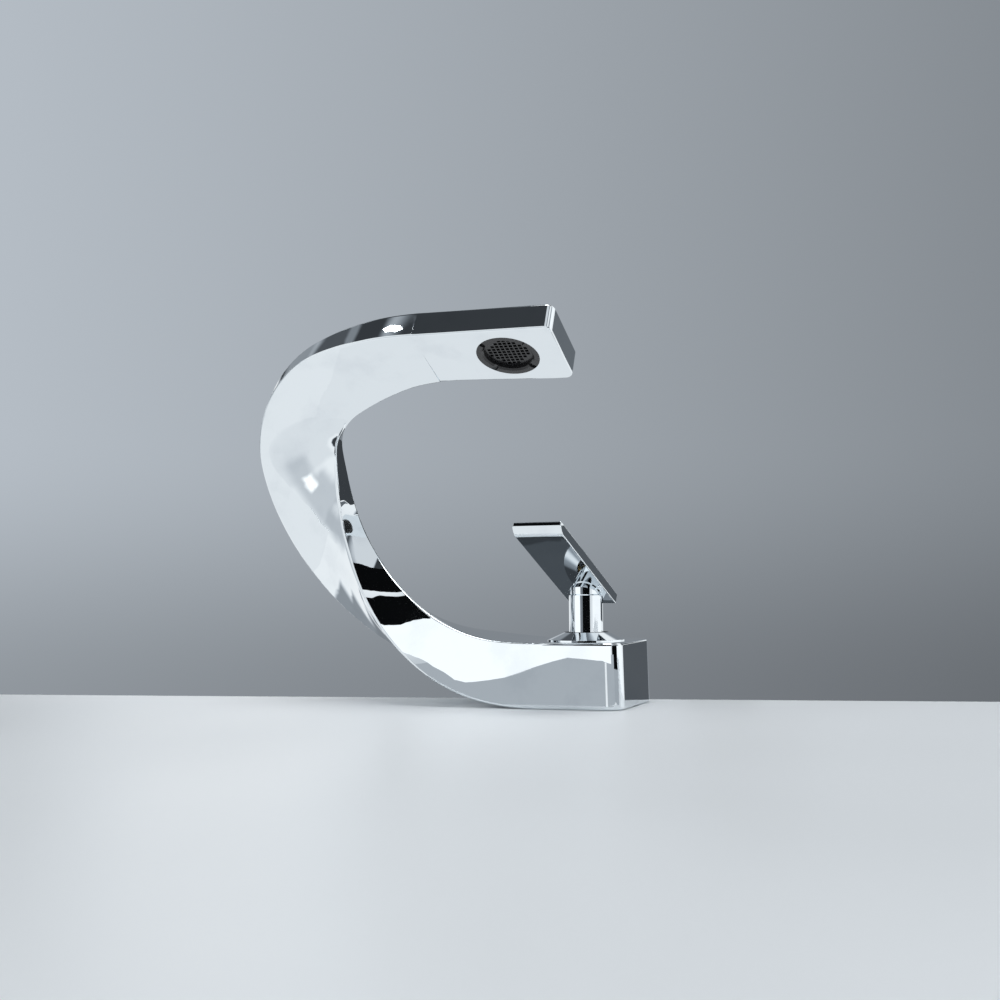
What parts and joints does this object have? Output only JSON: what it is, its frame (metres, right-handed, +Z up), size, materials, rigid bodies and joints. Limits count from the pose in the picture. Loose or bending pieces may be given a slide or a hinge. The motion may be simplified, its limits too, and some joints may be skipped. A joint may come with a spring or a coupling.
{
  "type": "basin mixer tap",
  "caption": "Deck-mounted single-lever basin mixer with a twisted C-shaped chromed body, a flat spout with an aerator, and a ceramic disc cartridge under a low dome.",
  "frame": {"origin": "on the deck's surface, on the axis of the cartridge and of the hole in the deck", "axes": "+Z up out of the deck, -Y to the front where the user stands, +X towards the end of the base, away from the spout's bend"},
  "size_m": [0.1621, 0.0695, 0.2203],
  "materials": {
    "polished_chrome": "mirror polished",
    "bare_brass": "turned",
    "plain_steel": "zinc plated",
    "black_rubber": "matt",
    "grey_plastic": "moulded",
    "black_plastic": "moulded",
    "alumina": "lapped"
  },
  "bodies": {
    "tap": {"tap_body": "polished_chrome", "base_gasket": "black_rubber", "dome_cap": "polished_chrome", "retaining_nut": "bare_brass", "cartridge_housing": "grey_plastic", "cartridge_base": "grey_plastic", "port_seals": "black_rubber", "fixed_disc": "alumina", "aerator_housing": "black_plastic", "aerator_grille": "black_plastic", "flow_former": "black_plastic", "aerator_seal": "black_rubber", "fixing_stud": "plain_steel", "horseshoe_rubber": "black_rubber", "horseshoe_plate": "plain_steel", "fixing_nut": "bare_brass"},
    "turret": {"rotor": "grey_plastic", "pivot_pin": "plain_steel"},
    "lever": {"spindle": "plain_steel", "handle_stem": "polished_chrome", "lever_plate": "polished_chrome", "grub_screw": "plain_steel", "screw_plug": "polished_chrome"},
    "valve_disc": {"moving_disc": "alumina", "disc_carriage": "grey_plastic"}
  },
  "joints": [
    {"name": "temperature_turn", "type": "hinge", "parent": "tap", "child": "turret", "pos_m": [0, 0, 0], "axis": [0, 0, 1], "range_deg": [-38, 52]},
    {"name": "flow_tilt", "type": "hinge", "parent": "turret", "child": "lever", "pos_m": [0, 0, 0.01925], "axis": [-0.9925, 0.1219, 0], "range_deg": [-10, 10]},
    {"name": "disc_slide", "type": "slide", "parent": "turret", "child": "valve_disc", "axis": [-0.1219, -0.9925, 0], "range_m": [-0.00105, 0.00105]}
  ],
  "couplings": [
    {"joint": "disc_slide", "follows": "flow_tilt", "m_per_rad": 0.0058}
  ]
}
